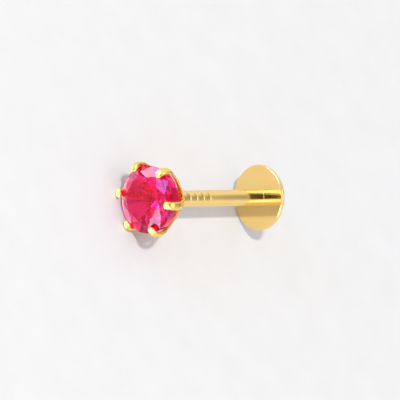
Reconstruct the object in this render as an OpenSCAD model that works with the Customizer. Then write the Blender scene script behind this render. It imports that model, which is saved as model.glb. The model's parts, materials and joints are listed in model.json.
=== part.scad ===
// Flat-backed nose pin: a round brilliant-cut stone held by six claws, on a hollow post with a flat disc.
// The stone end and its pin pull out of the post, so that the post can pass through the piercing.
// The pin lies on its side, on the rim of the disc and on two claws, with the stone towards -X.

/* [Post and disc] */
// Diameter of the post that passes through the piercing, an 18 gauge post
post_d = 1.0; // [0.9:0.05:1.2]
// Length of the post between the disc and the claw setting
post_len = 7.3; // [6:0.05:9]
// Diameter of the flat disc at the back
disc_d = 4.05; // [3.6:0.05:4.2]
// Thickness of the disc
disc_t = 0.25; // [0.2:0.01:0.35]
// Radius of the solder fillet where the post stands on the disc
solder_r = 0.06; // [0.05:0.01:0.15]

/* [Turned grooves in the post] */
// Number of fine turned grooves near the setting
groove_count = 4; // [1:1:5]
// Distance from one groove to the next
groove_pitch = 0.6; // [0.4:0.05:0.7]
// Distance of the first groove from the setting
groove_start = 0.65; // [0.4:0.05:0.8]
// Width of a groove at the surface
groove_w = 0.14; // [0.08:0.01:0.2]
// Depth of a groove
groove_depth = 0.025; // [0.01:0.005:0.04]

/* [Plug pin in the hollow post] */
// Diameter of the plug pin under the setting
pin_d = 0.66; // [0.6:0.01:0.7]
// Length of the plug pin
pin_len = 3.2; // [2:0.1:4]
// Clearance between the plug pin and the wall of the hollow post, all round
pin_gap = 0.03; // [0.02:0.01:0.05]

/* [Stone] */
// Diameter of the stone at its girdle
stone_d = 4.15; // [4:0.05:4.2]
// Radius of the table's corners, as a share of the girdle radius
table_share = 0.66; // [0.55:0.01:0.72]
// Slope of the main crown facets
crown_angle = 29; // [27:1:31]
// Thickness of the girdle at the main facets
girdle_t = 0.12; // [0.1:0.01:0.14]
// Depth of the steep shoulder facets under the girdle
shoulder_depth = 0.64; // [0.5:0.02:0.66]
// Depth of the belly facets under the shoulder
belly_depth = 0.45; // [0.35:0.01:0.5]
// Depth of the main pavilion facets under the belly
pavilion_depth = 1.19; // [1:0.01:1.24]

/* [Claws] */
// Number of claws
claw_count = 6; // [6]
// Width of a claw, across the post's direction
claw_w = 0.5; // [0.4:0.01:0.55]
// Thickness of a claw beside the stone
claw_t = 0.29; // [0.26:0.01:0.32]
// Thickness of a claw at its tip
tip_t = 0.26; // [0.22:0.01:0.3]
// Thickness of a claw's leg near the foot
leg_t = 0.2; // [0.16:0.01:0.24]
// How far the round tip of a claw reaches along the crown
tip_len = 0.31; // [0.28:0.01:0.4]

/* [Hidden] */
$fn = 96;

gold = [0.93, 0.74, 0.36];
ruby = [0.86, 0.06, 0.27];

joint_gap = 0.02;      // between the mouth of the post and the setting
claw_gap = 0.03;       // between the stone and a claw
post_r = post_d / 2;
disc_r = disc_d / 2;
pin_r = pin_d / 2;
socket_r = pin_r + pin_gap;
socket_depth = pin_len + 0.3;
mouth_z = disc_t + post_len - joint_gap;
base_z = disc_t + post_len;

// Stone: heights above the setting's base plane, at the upper edge of the girdle and from there
girdle_r = stone_d / 2;
table_r = girdle_r * table_share;
girdle_h = 2.76;
crown_h = (girdle_r - table_r) * tan(crown_angle);
star_r = 0.5 * (table_r + girdle_r);
shoulder_r = girdle_r * 0.93;
belly_r = girdle_r * 0.7;
keel_r = belly_r * 0.5;
culet_r = 0.05;
facet_turn = 12.5;       // turn of the main facets from straight up

// Claws: centre line in the plane of the claw, as radius and height above the base plane
claw_r = girdle_r + claw_gap + claw_t / 2;  // upright part, beside the girdle
leg_top_h = girdle_h - 0.26;
tip_bend_h = girdle_h - 0.02;
tip_round = 0.2;       // length of a claw's rounded tip
claw_sides = 12;
section_power = 0.8;   // 1 gives an ellipse, less gives flatter faces with rounded edges

// Columns of a station on a claw's centre line
RADIUS = 0;
HEIGHT = 1;
LEAN = 2;              // from the post's direction
SCALE = 3;             // of the section
THICKNESS = 4;

// Arcs of the centre line, each from where the last one ended: [radius, end lean, end thickness, steps]
BEND = 0;
END_LEAN = 1;
END_THICKNESS = 2;
STEPS = 3;
leg_arcs = [
    [0.8, 32, leg_t, 5],
    [11.5, 42.6, leg_t, 3],
    [0.5, 78, leg_t, 4]
];
tip_arcs = [
    [0.35, crown_angle - 90, tip_t, 6]
];

// Cup that joins the feet of the claws
cup_foot_r = 0.5;
cup_rim_r = 0.74;
cup_rim_h = 0.31;
cup_floor_h = 0.2;

// Lowest point of the claws' ring when two of them stand on the ground, 30 degrees to each side
stance_angle = 180 / claw_count;
claw_stance = max([for (p = claw_ring([claw_r, 0, 0, 1, claw_t]))
    p.x * cos(stance_angle) + p.y * sin(stance_angle)]);
stance_z = base_z + leg_top_h;
rest_lean = asin((claw_stance - disc_r) / (stance_z - disc_t / 2));
rest_height = claw_stance * cos(rest_lean) - stance_z * sin(rest_lean);
claws_x = min([for (i = [0:claw_count - 1], st = claw_stations(), p = claw_ring(st))
    (p.x * cos(claw_angle(i)) - p.y * sin(claw_angle(i))) * sin(rest_lean)
        - (base_z + p.z) * cos(rest_lean)]);
table_x = -table_r * cos(facet_turn) * sin(rest_lean) - (base_z + girdle_h + crown_h) * cos(rest_lean);
front_x = min(claws_x, table_x);
back_x = (disc_r - disc_t / 2) * sin(rest_lean) - disc_t / 2 * cos(rest_lean) + disc_t / 2;
middle_x = -(front_x + back_x) / 2;

// Lays the pin, made upright on its disc, on its side
module lie_down() {
    translate([middle_x, 0, rest_height])
        rotate([0, rest_lean - 90, 0])
            children();
}

// Points of an arc in a profile, from angle a to angle b
function arc_points(centre, radius, a, b, steps) =
    [for (i = [0:steps]) centre + radius * [cos(a + (b - a) * i / steps), sin(a + (b - a) * i / steps)]];

// One turned groove, as three points of the post's outline, going forwards
function groove_points(z) =
    [[post_r, z - groove_w / 2], [post_r - groove_depth, z], [post_r, z + groove_w / 2]];

// Outline of the disc and the hollow post, as radius and height
function flat_back_outline() = concat(
    [[0, 0]],
    arc_points([disc_r - disc_t / 2, disc_t / 2], disc_t / 2, -90, 90, 10),
    arc_points([post_r + solder_r, disc_t + solder_r], solder_r, 270, 180, 5),
    [for (i = [groove_count - 1:-1:0])
        each groove_points(base_z - groove_start - i * groove_pitch)],
    [[post_r, mouth_z - 0.03], [post_r - 0.03, mouth_z],
     [socket_r + 0.02, mouth_z], [socket_r, mouth_z - 0.02],
     [socket_r, mouth_z - socket_depth], [0, mouth_z - socket_depth - 0.2]]
);

module flat_back() {
    color(gold)
        rotate_extrude()
            polygon(flat_back_outline());
}

// Outline of the cup and the plug pin under it, as radius and height above the base plane
function cup_and_pin_outline() = [
    [0, -pin_len],
    [pin_r - 0.08, -pin_len],
    [pin_r, -pin_len + 0.12],
    [pin_r, 0],
    [cup_foot_r - 0.04, 0],
    [cup_foot_r, 0.04],
    [cup_rim_r, cup_rim_h - 0.05],
    [cup_rim_r - 0.01, cup_rim_h],
    [cup_rim_r - 0.12, cup_rim_h + 0.02],
    [cup_foot_r - 0.1, cup_floor_h + 0.03],
    [0, cup_floor_h]
];

// Stations along joined arcs of a claw's centre line: [radius, height, lean, scale, thickness]
function arc_station(from, arc, share) = let (lean = from[LEAN] + (arc[END_LEAN] - from[LEAN]) * share) [
    from[RADIUS] + arc[BEND] * (cos(lean) - cos(from[LEAN])),
    from[HEIGHT] - arc[BEND] * (sin(lean) - sin(from[LEAN])),
    lean,
    from[SCALE],
    from[THICKNESS] + (arc[END_THICKNESS] - from[THICKNESS]) * share
];
function arc_stations(from, arcs, i = 0) = i == len(arcs) ? [from] : concat(
    [for (k = [0:arcs[i][STEPS] - 1]) arc_station(from, arcs[i], k / arcs[i][STEPS])],
    arc_stations(arc_station(from, arcs[i], 1), arcs, i + 1)
);

function claw_angle(i) = stance_angle * (2 * i + 1);
function claw_stations() = let (
        leg = arc_stations([claw_r, leg_top_h, 0, 1, claw_t], leg_arcs),
        tip = arc_stations([claw_r, tip_bend_h, 0, 1, claw_t], tip_arcs),
        end = tip[len(tip) - 1],
        lean = end[LEAN])
    concat(
        [for (i = [len(leg) - 1:-1:0]) leg[i]],
        tip,
        [for (i = [0:4]) let (turn = 80 * i / 4, reach = tip_len - tip_round + tip_round * sin(turn))
            [end[RADIUS] + reach * sin(lean), end[HEIGHT] + reach * cos(lean), lean, cos(turn), tip_t]]
    );

// One ring of points round the centre line, a rounded flat section as wide as the claw
function squared(value) = sign(value) * pow(abs(value), section_power);
function claw_ring(st) = [for (i = [0:claw_sides - 1]) let (
        turn = 360 * i / claw_sides,
        out = st[THICKNESS] / 2 * st[SCALE] * squared(cos(turn)),
        side = claw_w / 2 * st[SCALE] * squared(sin(turn)))
    [st[RADIUS] + out * cos(st[LEAN]), side, st[HEIGHT] - out * sin(st[LEAN])]];

module claw() {
    stations = claw_stations();
    count = len(stations);
    polyhedron(
        points = [for (st = stations) each claw_ring(st)],
        faces = concat(
            [[for (i = [0:claw_sides - 1]) i]],
            [for (k = [0:count - 2], i = [0:claw_sides - 1]) let (
                    next = (i + 1) % claw_sides,
                    low = k * claw_sides,
                    high = low + claw_sides)
                each [[low + i, high + i, high + next], [low + i, high + next, low + next]]],
            [[for (i = [claw_sides - 1:-1:0]) (count - 1) * claw_sides + i]]
        )
    );
}

module setting() {
    color(gold)
        translate([0, 0, base_z])
            union() {
                rotate_extrude()
                    polygon(cup_and_pin_outline());
                for (i = [0:claw_count - 1])
                    rotate([0, 0, claw_angle(i)])
                        claw();
            }
}

// Height at [x, y] of the plane through three points
function plane_height(a, b, c, x, y) =
    let (n = cross(b - a, c - a))
    a.z - (n.x * (x - a.x) + n.y * (y - a.y)) / n.z;

function on_ring(radius, angle, height) = [radius * cos(angle), radius * sin(angle), height];

// Height on a main facet that falls from inner to outer radius, seen on the line between two main facets
function on_main(inner, outer, radius) =
    inner[1] + (outer[1] - inner[1]) * (radius * cos(22.5) - inner[0]) / (outer[0] - inner[0]);

// Stone, with its upper girdle edge at height 0
star_h = on_main([table_r, crown_h], [girdle_r, 0], star_r);
shoulder_h = -girdle_t - shoulder_depth;
belly_h = shoulder_h - belly_depth;
culet_h = belly_h - pavilion_depth;
keel_h = on_main([0, culet_h], [belly_r, belly_h], keel_r);
culet_rim_h = on_main([0, culet_h], [belly_r, belly_h], culet_r);

// Upper girdle edge at step j of 32: even steps are corners, odd steps lie on one half facet
function upper_girdle(j) = let (k = floor(j / 2), star = on_ring(star_r, 45 * floor(j / 4) + 22.5, star_h),
        p = on_ring(girdle_r, 11.25 * j, 0))
    j % 2 == 0 ? p : [p.x, p.y, plane_height(star, on_ring(girdle_r, 22.5 * k, 0),
        on_ring(girdle_r, 22.5 * (k + 1), 0), p.x, p.y)];

// Edge between shoulder and belly at step j of 32: at odd steps two shoulder facets meet one belly facet
shoulder_run = (girdle_r - shoulder_r) / shoulder_depth;
belly_slope = belly_depth / ((shoulder_r - belly_r) * cos(11.25));
shoulder_rise = shoulder_r * (1 - cos(11.25)) * belly_slope / (1 - shoulder_run * belly_slope);
function shoulder_edge(j) = j % 2 == 0 ? on_ring(shoulder_r, 11.25 * j, shoulder_h) :
    on_ring(shoulder_r + shoulder_rise * shoulder_run, 11.25 * j, shoulder_h + shoulder_rise);

// First index of each ring of points
TABLE = 0;
STAR = 8;
UPPER = 16;
LOWER = 48;
SHOULDER = 80;
BELLY = 112;
KEEL = 128;
CULET = 136;

module brilliant() {
    polyhedron(
        points = concat(
            [for (k = [0:7]) on_ring(table_r, 45 * k, crown_h)],
            [for (k = [0:7]) on_ring(star_r, 45 * k + 22.5, star_h)],
            [for (j = [0:31]) upper_girdle(j)],
            [for (j = [0:31]) on_ring(girdle_r, 11.25 * j, -girdle_t)],
            [for (j = [0:31]) shoulder_edge(j)],
            [for (j = [0:15]) on_ring(belly_r, 22.5 * j, belly_h)],
            [for (k = [0:7]) on_ring(keel_r, 45 * k + 22.5, keel_h)],
            [for (k = [0:7]) on_ring(culet_r, 45 * k + 22.5, culet_rim_h)]
        ),
        faces = concat(
            [[for (k = [7:-1:0]) TABLE + k]],
            // star, main and half facets of the crown
            [for (k = [0:7]) [TABLE + k, TABLE + (k + 1) % 8, STAR + k]],
            [for (k = [0:7]) [TABLE + k, STAR + k, UPPER + 4 * k, STAR + (k + 7) % 8]],
            [for (k = [0:7], s = [0, 2]) let (j = 4 * k + s)
                [UPPER + (j + 2) % 32, UPPER + j + 1, UPPER + j, STAR + k]],
            // girdle
            [for (j = [0:31]) let (n = (j + 1) % 32) [UPPER + j, UPPER + n, LOWER + n, LOWER + j]],
            // shoulder, belly, half and main facets of the pavilion
            [for (j = [0:31]) let (n = (j + 1) % 32) [LOWER + j, LOWER + n, SHOULDER + n, SHOULDER + j]],
            [for (j = [0:15]) let (n = (j + 1) % 16)
                [SHOULDER + 2 * j, SHOULDER + 2 * j + 1, SHOULDER + 2 * n, BELLY + n, BELLY + j]],
            [for (j = [0:15]) [BELLY + j, BELLY + (j + 1) % 16, KEEL + floor(j / 2)]],
            [for (k = [0:7]) let (p = (k + 7) % 8)
                [KEEL + p, BELLY + 2 * k, KEEL + k, CULET + k, CULET + p]],
            [[for (k = [0:7]) CULET + k]]
        )
    );
}

module stone() {
    color(ruby)
        translate([0, 0, base_z + girdle_h])
            rotate([0, 0, facet_turn])
                brilliant();
}

lie_down() flat_back();
lie_down() setting();
lie_down() stone();
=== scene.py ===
# Flat-backed nose pin: a gold post with a flat disc, and a pink-red stone held by six claws.
# The shapes are made in millimetres along the pin's own axis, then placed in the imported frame.
import json
import math

import bmesh
import bpy
from mathutils import Matrix
from mathutils import Vector


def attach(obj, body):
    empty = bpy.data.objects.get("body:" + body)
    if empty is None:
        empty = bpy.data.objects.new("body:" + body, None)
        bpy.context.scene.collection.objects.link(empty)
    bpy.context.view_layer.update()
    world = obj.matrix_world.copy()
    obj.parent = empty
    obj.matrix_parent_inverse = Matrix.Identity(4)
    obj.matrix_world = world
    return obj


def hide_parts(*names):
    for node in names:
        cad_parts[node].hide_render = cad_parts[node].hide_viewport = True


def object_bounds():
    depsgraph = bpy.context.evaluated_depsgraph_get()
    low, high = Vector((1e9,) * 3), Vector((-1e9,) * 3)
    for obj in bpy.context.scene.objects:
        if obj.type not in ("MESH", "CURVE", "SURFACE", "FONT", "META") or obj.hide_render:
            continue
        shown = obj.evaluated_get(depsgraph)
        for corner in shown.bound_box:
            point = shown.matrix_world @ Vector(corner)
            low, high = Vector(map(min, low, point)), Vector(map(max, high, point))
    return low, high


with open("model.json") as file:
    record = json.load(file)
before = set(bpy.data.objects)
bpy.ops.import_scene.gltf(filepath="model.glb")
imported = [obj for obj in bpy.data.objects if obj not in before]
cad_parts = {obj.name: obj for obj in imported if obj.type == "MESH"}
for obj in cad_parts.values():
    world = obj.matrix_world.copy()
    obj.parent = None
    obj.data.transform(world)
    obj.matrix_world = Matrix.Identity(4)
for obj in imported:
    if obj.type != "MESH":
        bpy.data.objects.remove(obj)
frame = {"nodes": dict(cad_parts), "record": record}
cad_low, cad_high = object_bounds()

MM = 0.001

# Sizes of the pin in millimetres, as in the part's source unless a line says otherwise
DISC_R = 2.025
DISC_T = 0.25
POST_R = 0.5
SOLDER_R = 0.03         # 0.06 in the part's source
BASE_Z = 7.55
MOUTH_Z = 7.53
SOCKET_R = 0.36
SOCKET_DEPTH = 3.5
PIN_R = 0.33
PIN_LEN = 3.2
GROOVES = (0.65, 1.25, 1.85, 2.45)
GROOVE_W = 0.14
GROOVE_DEPTH = 0.025
MOUTH_ROUND = 0.03
BORE_ROUND = 0.02
DRILL_POINT = 0.2       # depth of the cone at the end of the bore
PIN_TAPER_R = 0.08
PIN_TAPER_LEN = 0.12
PIN_TOP_H = 0.05        # how far the plug pin reaches into the cup
LOOP = 0.01             # from a rounding to the ring of points that keeps the face beside it flat
# Section of a groove: (place across it from -1 to 1, share of its depth)
GROOVE_PROFILE = ((-1.0, 0.0), (-0.6, 0.4), (-0.15, 1.0), (0.15, 1.0), (0.6, 0.4), (1.0, 0.0))
# Outline of the cup: (radius, height above its foot)
CUP = ((0.0, 0.0), (0.46, 0.0), (0.5, 0.04), (0.74, 0.26),
       (0.73, 0.31), (0.62, 0.33), (0.4, 0.23), (0.0, 0.2))

CLAW_COUNT = 6
FIRST_CLAW = 30.0       # degrees round the axis
CLAW_R = 2.25
CLAW_W = 0.5
CLAW_T = 0.29
SECTION_POWER = 0.8
LEG_TOP_H = 2.5
TIP_BEND_H = 2.74
TIP_LEN = 0.31
TIP_ROUND = 0.2
TIP_TURN = 88.0         # degrees of the rounding of a tip, just short of a point
TIP_STEPS = 12
# Arcs of a claw's centre line: (radius, lean at the end, thickness at the end, steps)
LEG_ARCS = ((0.8, 32.0, 0.2, 14), (11.5, 42.6, 0.2, 10), (0.5, 78.0, 0.2, 8))
TIP_ARCS = ((0.35, -61.0, 0.26, 14),)
VOXEL = 0.025           # grain of the skin that melts the claws and the cup together
SMOOTH_STEPS = 5

# The photograph: its size in pixels, its scale at the pin, and where the pin's axis shows in it
PHOTO_PX = 400.0
PX_PER_MM = 16.5
VIEW_ANGLE = 42.4       # between the line of sight and the pin's axis
STONE_TURN = 71.5       # how far the camera is turned round the pin's axis from level
AXIS_RISE = 1.0         # how far the axis rises to the right in the picture
TIP_PLANE_Z = 10.71     # height of the claw tips above the back of the disc
TIP_PLANE_PX = (142.3, 199.5)
CAMERA_DISTANCE = 600.0
SENSOR_MM = 36.0

# Darker and lighter tone of each material
POST_TONES = ((0.95, 0.66, 0.23), (0.98, 0.70, 0.27))
CLAW_TONES = ((0.95, 0.68, 0.17), (0.98, 0.72, 0.20))
STONE_TONES = ((0.775, 0.01, 0.105), (0.835, 0.018, 0.145))
FLOOR_TONES = ((0.58, 0.563, 0.54), (0.60, 0.582, 0.558))
NOISE_RANGE = (0.3, 0.7)    # where nearly all values of a noise lie
FINISH_FADE = 0.2       # millimetres over which the finish of the disc passes into that of the post

# Light
WORLD_STRENGTH = 0.97
DARK = (0.12, 0.12, 0.12)
DIM = (0.45, 0.45, 0.45)
COOL = (1.5, 2.3, 4.5)
# Patches of the room: (direction, degrees to the end of the even middle, degrees to the edge, colour)
PATCHES = (((-0.736, -0.297, 0.608), 7.0, 17.0, DARK),
           ((-0.736, -0.035, 0.676), 7.0, 17.0, DARK),
           ((-0.736, 0.232, 0.636), 7.0, 17.0, DARK),
           ((0.736, -0.12, 0.66), 5.0, 35.0, DIM),
           ((-0.74, 0.67, 0.15), 8.0, 26.0, COOL),
           ((-0.74, -0.67, 0.15), 8.0, 26.0, COOL),
           ((-0.1, -0.3, 0.95), 12.0, 28.0, (2.2, 2.2, 2.2)),
           ((-0.98, 0.02, 0.18), 4.0, 10.0, (3.0, 3.0, 3.0)),
           ((-0.88, 0.41, 0.25), 3.0, 8.0, (4.0, 4.0, 4.0)),
           ((-0.94, -0.29, 0.16), 3.0, 8.0, (2.5, 2.5, 2.5)),
           ((-0.79, 0.24, 0.56), 2.0, 5.0, (11.0, 14.0, 21.0)),
           ((-0.46, 0.89, 0.03), 2.0, 5.0, (10.0, 10.0, 10.0)),
           ((1.0, 0.1, 0.05), 12.0, 30.0, (0.15, 0.15, 0.15)))
KEY_TOWARDS = (-0.5, 0.03, 1.0)
KEY_DISTANCE = 0.5
KEY_WIDTH = 0.04
KEY_POWER = 1.6
# Bright cards on the floor, in millimetres: (x, y, size along x, size along y, colour)
CARDS = ((-10.8, -3.7, 6.6, 3.8, (0.85, 1.0, 0.7)),
         (-11.7, 11.2, 3.6, 4.2, (0.85, 1.0, 0.7)),
         (-5.4, 1.4, 1.6, 5.2, (0.08, 0.09, 0.12)))
CARD_POWER = 40.0       # watts for each square metre
CARD_LIFT = 0.02        # millimetres above the floor
FLOOR_HALF = 0.6        # metres


# Placing

mounts = {m["name"]: m for m in frame["record"]["mounts"]}
forward = Vector(mounts["post"]["axis"]).normalized()
sideways = Vector((0.0, 1.0, 0.0))
upward = sideways.cross(forward)
foot = Vector(mounts["back_face"]["pos_m"])
TURN = Matrix((upward, sideways, forward)).transposed().to_4x4()
PLACE = Matrix.Translation(foot) @ TURN @ Matrix.Scale(MM, 4)


def on_axis(height):
    """Point of the pin's axis at a height above the back of the disc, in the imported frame."""
    return PLACE @ Vector((0.0, 0.0, height))


# Mesh helpers

def finish_mesh(mesh, name, material, body, stands_for):
    """Places a mesh made in millimetres, and makes it a piece of the object in place of a CAD node."""
    mesh.transform(PLACE)
    mesh.update()
    piece = bpy.data.objects.new(name, mesh)
    bpy.context.scene.collection.objects.link(piece)
    mesh.materials.clear()
    mesh.materials.append(material)
    mesh.shade_smooth()
    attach(piece, body)
    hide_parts(stands_for)


def arc(centre, radius, start, end, steps):
    """Points of an arc in an outline, angles in degrees."""
    points = []
    for i in range(steps + 1):
        turn = math.radians(start + (end - start) * i / steps)
        points.append((centre[0] + radius * math.cos(turn), centre[1] + radius * math.sin(turn)))
    return points


def turned(bm, outline, segments):
    """Turns an outline of (radius, height) about the axis. A radius of 0 makes a single point."""
    rings = []
    for radius, height in outline:
        if radius < 1e-6:
            rings.append([bm.verts.new((0.0, 0.0, height))])
            continue
        ring = []
        for k in range(segments):
            turn = 2 * math.pi * k / segments
            ring.append(bm.verts.new((radius * math.cos(turn), radius * math.sin(turn), height)))
        rings.append(ring)
    for low, high in zip(rings, rings[1:]):
        for k in range(segments):
            corners = [low[k % len(low)], low[(k + 1) % segments % len(low)],
                       high[(k + 1) % segments % len(high)], high[k % len(high)]]
            corners = list(dict.fromkeys(corners))
            if len(corners) > 2:
                bm.faces.new(corners)


def swept(bm, rings):
    """Skins a row of closed rings of points, and closes both ends."""
    made = [[bm.verts.new(p) for p in ring] for ring in rings]
    sides = len(made[0])
    for low, high in zip(made, made[1:]):
        for k in range(sides):
            n = (k + 1) % sides
            bm.faces.new((low[k], low[n], high[n], high[k]))
    bm.faces.new(made[0][::-1])
    bm.faces.new(made[-1])


def baked(bm, name):
    """A mesh from a bmesh, with its normals turned outwards."""
    bmesh.ops.recalc_face_normals(bm, faces=bm.faces)
    mesh = bpy.data.meshes.new(name)
    bm.to_mesh(mesh)
    bm.free()
    return mesh


def with_modifiers(mesh, name, add):
    """The mesh after the modifiers that add() puts on it."""
    helper = bpy.data.objects.new(name, mesh)
    bpy.context.scene.collection.objects.link(helper)
    add(helper)
    graph = bpy.context.evaluated_depsgraph_get()
    result = bpy.data.meshes.new_from_object(helper.evaluated_get(graph))
    bpy.data.objects.remove(helper)
    bpy.data.meshes.remove(mesh)
    return result


# Materials

def node(tree, kind, **settings):
    """A new shader node. Settings are its own properties, and inputs by name through a dict."""
    made = tree.nodes.new(kind)
    for key, value in settings.pop("inputs", {}).items():
        made.inputs[key].default_value = value
    for key, value in settings.items():
        setattr(made, key, value)
    return made


def new_material(name):
    """An empty node material with its output and a Principled shader."""
    material = bpy.data.materials.new(name)
    material.use_nodes = True
    tree = material.node_tree
    tree.nodes.clear()
    output = node(tree, "ShaderNodeOutputMaterial")
    shader = node(tree, "ShaderNodeBsdfPrincipled")
    tree.links.new(shader.outputs["BSDF"], output.inputs["Surface"])
    return material, tree, shader, output


def noise(tree, coordinates, scale, detail, stretch=(1.0, 1.0, 1.0)):
    """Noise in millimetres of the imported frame, stretched along its axes."""
    mapping = node(tree, "ShaderNodeMapping")
    mapping.inputs["Scale"].default_value = [s / MM for s in stretch]
    tree.links.new(coordinates, mapping.inputs["Vector"])
    made = node(tree, "ShaderNodeTexNoise", inputs={"Scale": scale, "Detail": detail})
    tree.links.new(mapping.outputs["Vector"], made.inputs["Vector"])
    return made.outputs["Fac"]


def ramp(tree, value, stops):
    """A colour ramp from a list of (place, colour)."""
    made = node(tree, "ShaderNodeValToRGB")
    tree.links.new(value, made.inputs["Fac"])
    elements = made.color_ramp.elements
    while len(elements) < len(stops):
        elements.new(0.5)
    for element, (place, colour) in zip(elements, stops):
        element.position = place
        element.color = (*colour, 1.0)
    return made.outputs["Color"]


def tinted(tree, value, tones):
    """A colour between two tones, by a noise."""
    return ramp(tree, value, list(zip(NOISE_RANGE, tones)))


def remap(tree, value, low, high, new_low, new_high):
    """A value moved from one range to another, held inside the new one."""
    made = node(tree, "ShaderNodeMapRange", inputs={
        "From Min": low, "From Max": high, "To Min": new_low, "To Max": new_high})
    tree.links.new(value, made.inputs["Value"])
    return made.outputs["Result"]


def gold_material(name, tones, smooth, rough, post_softness=0.0):
    """Yellow gold with faint hand-polish swirls. The post can have a softer finish than the disc."""
    material, tree, shader, _ = new_material(name)
    place = node(tree, "ShaderNodeTexCoord").outputs["Object"]
    tone = noise(tree, place, scale=0.7, detail=3.0)
    tree.links.new(tinted(tree, tone, tones), shader.inputs["Base Color"])
    swirl = noise(tree, place, scale=3.0, detail=6.0)
    roughness = remap(tree, swirl, *NOISE_RANGE, smooth, rough)
    if post_softness:
        split = node(tree, "ShaderNodeSeparateXYZ")
        tree.links.new(place, split.inputs["Vector"])
        fade_start = on_axis(DISC_T + FINISH_FADE).x
        softer = remap(tree, split.outputs["X"], fade_start, on_axis(DISC_T).x, post_softness, 0.0)
        both = node(tree, "ShaderNodeMath", operation="ADD")
        tree.links.new(roughness, both.inputs[0])
        tree.links.new(softer, both.inputs[1])
        roughness = both.outputs["Value"]
    tree.links.new(roughness, shader.inputs["Roughness"])
    hair = noise(tree, place, scale=9.0, detail=4.0, stretch=(0.35, 2.0, 2.0))
    bump = node(tree, "ShaderNodeBump", inputs={"Strength": 0.05, "Distance": 0.00002})
    tree.links.new(hair, bump.inputs["Height"])
    tree.links.new(bump.outputs["Normal"], shader.inputs["Normal"])
    shader.inputs["Metallic"].default_value = 1.0
    return material


def stone_material(name):
    """Clear pink-red stone with polished facets, and a faint painted pink-red glow."""
    material, tree, shader, output = new_material(name)
    place = node(tree, "ShaderNodeTexCoord").outputs["Object"]
    zone = noise(tree, place, scale=0.6, detail=2.0)
    tree.links.new(tinted(tree, zone, STONE_TONES), shader.inputs["Base Color"])
    shader.inputs["Transmission Weight"].default_value = 1.0
    shader.inputs["IOR"].default_value = 1.77
    shader.inputs["Specular Tint"].default_value = (0.42, 0.21, 0.49, 1.0)
    # Painted glow: the stone gives off a faint pink-red light of its own, though it is no lamp, which lifts
    # its darker parts a little.
    shader.inputs["Emission Color"].default_value = (1.0, 0.01, 0.12, 1.0)
    shader.inputs["Emission Strength"].default_value = 0.04
    polish = noise(tree, place, scale=5.0, detail=3.0)
    tree.links.new(remap(tree, polish, *NOISE_RANGE, 0.0, 0.02), shader.inputs["Roughness"])
    depth = node(tree, "ShaderNodeVolumeAbsorption")
    depth.inputs["Color"].default_value = (0.995, 0.35, 0.55, 1.0)
    depth.inputs["Density"].default_value = 300.0
    tree.links.new(depth.outputs["Volume"], output.inputs["Volume"])
    return material


def floor_material(name):
    """Pale matt studio surface, warm enough to come out neutral in the cool light."""
    material, tree, shader, _ = new_material(name)
    place = node(tree, "ShaderNodeTexCoord").outputs["Object"]
    grain = noise(tree, place, scale=0.5, detail=4.0)
    tree.links.new(tinted(tree, grain, FLOOR_TONES), shader.inputs["Base Color"])
    shader.inputs["Roughness"].default_value = 0.6
    return material


gold = gold_material("polished_gold", POST_TONES, smooth=0.05, rough=0.13, post_softness=0.05)
claw_gold = gold_material("hand_finished_gold", CLAW_TONES, smooth=0.22, rough=0.32)
ruby = stone_material("pink_red_stone")


# Post and disc

def groove(height):
    """Outline of one fine turned groove, going forwards."""
    return [(POST_R - share * GROOVE_DEPTH, height + across * GROOVE_W / 2)
            for across, share in GROOVE_PROFILE]


rim_r = DISC_R - DISC_T / 2
outline = [(0.0, 0.0), (rim_r / 2, 0.0), (rim_r - 2 * LOOP, 0.0)]
outline += arc((rim_r, DISC_T / 2), DISC_T / 2, -90, 90, steps=20)
outline += [(rim_r - 2 * LOOP, DISC_T), (rim_r / 2, DISC_T), (POST_R + SOLDER_R + LOOP, DISC_T)]
outline += arc((POST_R + SOLDER_R, DISC_T + SOLDER_R), SOLDER_R, 270, 180, steps=8)
outline += [(POST_R, DISC_T + SOLDER_R + LOOP)]
for start in sorted(GROOVES, reverse=True):
    outline += groove(BASE_Z - start)
outline += [(POST_R, MOUTH_Z - MOUTH_ROUND - LOOP)]
outline += arc((POST_R - MOUTH_ROUND, MOUTH_Z - MOUTH_ROUND), MOUTH_ROUND, 0, 90, steps=5)
outline += arc((SOCKET_R + BORE_ROUND, MOUTH_Z - BORE_ROUND), BORE_ROUND, 90, 180, steps=4)
outline += [(SOCKET_R, MOUTH_Z - BORE_ROUND - LOOP), (SOCKET_R, MOUTH_Z - SOCKET_DEPTH),
            (0.0, MOUTH_Z - SOCKET_DEPTH - DRILL_POINT)]
bm = bmesh.new()
turned(bm, outline, segments=128)
finish_mesh(baked(bm, "post_and_disc"), "post_and_disc", gold, "back", "flat_back")


# Claw setting

def along_arcs(start, arcs):
    """Stations along joined arcs: (radius, height, lean, share of the full section, thickness)."""
    stations = [start]
    for bend, end_lean, end_thickness, steps in arcs:
        r, h, lean, share, thickness = stations[-1]
        for i in range(1, steps + 1):
            now = lean + (end_lean - lean) * i / steps
            a, b = math.radians(now), math.radians(lean)
            stations.append((r + bend * (math.cos(a) - math.cos(b)), h - bend * (math.sin(a) - math.sin(b)),
                             now, share, thickness + (end_thickness - thickness) * i / steps))
    return stations


def claw_stations():
    """Stations of a claw from its foot to its round tip."""
    leg = along_arcs((CLAW_R, LEG_TOP_H, 0.0, 1.0, CLAW_T), LEG_ARCS)
    tip = along_arcs((CLAW_R, TIP_BEND_H, 0.0, 1.0, CLAW_T), TIP_ARCS)
    r, h, lean, share, thickness = tip[-1]
    a = math.radians(lean)
    for i in range(TIP_STEPS + 1):
        turn = math.radians(TIP_TURN * i / TIP_STEPS)
        reach = TIP_LEN - TIP_ROUND + TIP_ROUND * math.sin(turn)
        tip.append((r + reach * math.sin(a), h + reach * math.cos(a), lean, math.cos(turn), thickness))
    return leg[::-1] + tip


def squared(value):
    """A sine or cosine bent so that a section gets flatter faces and rounded edges."""
    return math.copysign(abs(value) ** SECTION_POWER, value)


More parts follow.
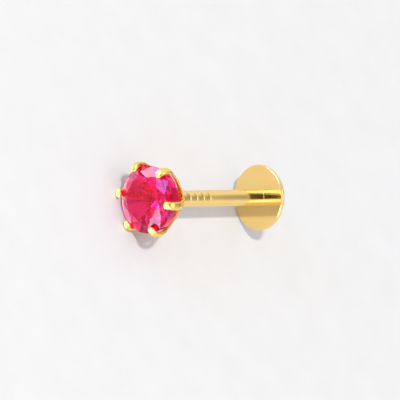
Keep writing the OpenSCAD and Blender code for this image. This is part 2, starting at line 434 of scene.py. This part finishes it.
def claw_ring(station, angle, sides):
    """Points of the rounded section of a claw at a station, for the claw at an angle round the axis."""
    radius, height, lean, share, thickness = station
    lean = math.radians(lean)
    ring = []
    for k in range(sides):
        turn = 2 * math.pi * k / sides
        out = thickness / 2 * share * squared(math.cos(turn))
        side = CLAW_W / 2 * share * squared(math.sin(turn))
        r = radius + out * math.cos(lean)
        z = BASE_Z + height - out * math.sin(lean)
        x = r * math.cos(angle) - side * math.sin(angle)
        y = r * math.sin(angle) + side * math.cos(angle)
        ring.append((x, y, z))
    return ring


def solder(helper):
    """Melts the claws and the cup into one smooth skin."""
    remesh = helper.modifiers.new("melt", "REMESH")
    remesh.mode = "VOXEL"
    remesh.voxel_size = VOXEL
    smooth = helper.modifiers.new("smooth", "SMOOTH")
    smooth.factor = 0.5
    smooth.iterations = SMOOTH_STEPS


bm = bmesh.new()
for i in range(CLAW_COUNT):
    angle = math.radians(FIRST_CLAW + 360.0 * i / CLAW_COUNT)
    swept(bm, [claw_ring(station, angle, sides=24) for station in claw_stations()])
turned(bm, [(radius, BASE_Z + height) for radius, height in CUP], segments=96)
crown = with_modifiers(baked(bm, "claws"), "claws", solder)
bm = bmesh.new()
bm.from_mesh(crown)
pin_end = BASE_Z - PIN_LEN
turned(bm, [(0.0, pin_end), (PIN_R - PIN_TAPER_R - LOOP, pin_end), (PIN_R - PIN_TAPER_R, pin_end),
            (PIN_R, pin_end + PIN_TAPER_LEN), (PIN_R, pin_end + PIN_TAPER_LEN + LOOP),
            (PIN_R, BASE_Z + PIN_TOP_H)], segments=64)
bpy.data.meshes.remove(crown)
finish_mesh(baked(bm, "claw_setting"), "claw_setting", claw_gold, "front", "setting")


# Stone

for slot in frame["nodes"]["stone"].material_slots:
    slot.material = ruby


# Floor, light and camera

floor_mesh = bpy.data.meshes.new("floor")
corners = [(x * FLOOR_HALF, y * FLOOR_HALF, 0.0) for x, y in ((-1, -1), (1, -1), (1, 1), (-1, 1))]
floor_mesh.from_pydata(corners, [], [(0, 1, 2, 3)])
floor = bpy.data.objects.new("floor", floor_mesh)
floor.location.z = cad_low.z
bpy.context.scene.collection.objects.link(floor)
floor_mesh.materials.append(floor_material("pale_floor"))


def studio_world():
    """A bright soft room with dark patches towards both ends of the pin, cool light and small lamps."""
    world = bpy.data.worlds.new("studio")
    bpy.context.scene.world = world
    world.use_nodes = True
    tree = world.node_tree
    tree.nodes.clear()
    output = node(tree, "ShaderNodeOutputWorld")
    back = node(tree, "ShaderNodeBackground")
    tree.links.new(back.outputs["Background"], output.inputs["Surface"])
    direction = node(tree, "ShaderNodeTexCoord").outputs["Generated"]
    level = None
    for towards, middle, edge, colour in PATCHES:
        nearness = node(tree, "ShaderNodeVectorMath", operation="DOT_PRODUCT")
        tree.links.new(direction, nearness.inputs[0])
        nearness.inputs[1].default_value = Vector(towards).normalized()
        share = remap(tree, nearness.outputs["Value"], math.cos(math.radians(edge)),
                      math.cos(math.radians(middle)), 0.0, 1.0)
        patch = ramp(tree, share, [(0.0, (1.0, 1.0, 1.0)), (1.0, colour)])
        if level is None:
            level = patch
            continue
        both = node(tree, "ShaderNodeVectorMath", operation="MULTIPLY")
        tree.links.new(level, both.inputs[0])
        tree.links.new(patch, both.inputs[1])
        level = both.outputs["Vector"]
    tree.links.new(level, back.inputs["Color"])
    back.inputs["Strength"].default_value = WORLD_STRENGTH


def key_light():
    """A small light overhead, which draws the pin's shadow. Neither the gold nor the stone mirrors it."""
    data = bpy.data.lights.new("key", "AREA")
    data.shape = "DISK"
    data.size = KEY_WIDTH
    data.energy = KEY_POWER
    light = bpy.data.objects.new("key", data)
    towards = Vector(KEY_TOWARDS).normalized()
    light.location = on_axis(BASE_Z) + towards * KEY_DISTANCE
    light.rotation_mode = "QUATERNION"
    light.rotation_quaternion = towards.to_track_quat("Z", "Y")
    light.visible_glossy = False
    bpy.context.scene.collection.objects.link(light)


def reflector_cards():
    """Bright cards facing up, which show only as reflections in the stone and the gold."""
    for x, y, size_x, size_y, colour in CARDS:
        data = bpy.data.lights.new("card", "AREA")
        data.shape = "RECTANGLE"
        data.size = size_x * MM
        data.size_y = size_y * MM
        data.energy = CARD_POWER * data.size * data.size_y
        data.color = colour
        card = bpy.data.objects.new("card", data)
        card.location = (x * MM, y * MM, cad_low.z + CARD_LIFT * MM)
        card.rotation_euler = (math.pi, 0.0, 0.0)
        card.visible_camera = False
        card.visible_diffuse = False
        card.visible_transmission = False
        bpy.context.scene.collection.objects.link(card)


studio_world()
key_light()
reflector_cards()

camera_data = bpy.data.cameras.new("camera")
camera = bpy.data.objects.new("camera", camera_data)
bpy.context.scene.collection.objects.link(camera)
bpy.context.scene.camera = camera
camera_data.sensor_width = SENSOR_MM
camera_data.lens = SENSOR_MM * CAMERA_DISTANCE * PX_PER_MM / PHOTO_PX
camera_data.clip_start = 0.01
camera_data.clip_end = 3.0

turn = math.radians(STONE_TURN)
angle = math.radians(VIEW_ANGLE)
picture_up = upward * math.cos(turn) + sideways * math.sin(turn)
picture_near = upward * math.sin(turn) - sideways * math.cos(turn)
back_to_camera = (forward * math.cos(angle) + picture_near * math.sin(angle)).normalized()
rise = math.radians(AXIS_RISE)
picture_right = picture_up.cross(back_to_camera).normalized()
right = picture_right * math.cos(rise) - picture_up * math.sin(rise)
up = back_to_camera.cross(right).normalized()
shift_x = (TIP_PLANE_PX[0] - PHOTO_PX / 2) / PX_PER_MM * MM
shift_y = (PHOTO_PX / 2 - TIP_PLANE_PX[1]) / PX_PER_MM * MM
aim = on_axis(TIP_PLANE_Z) - right * shift_x - up * shift_y
camera.location = aim + back_to_camera * CAMERA_DISTANCE * MM
camera.rotation_mode = "QUATERNION"
camera.rotation_quaternion = Matrix((right, up, back_to_camera)).transposed().to_quaternion()

bpy.context.scene.view_settings.view_transform = "Standard"
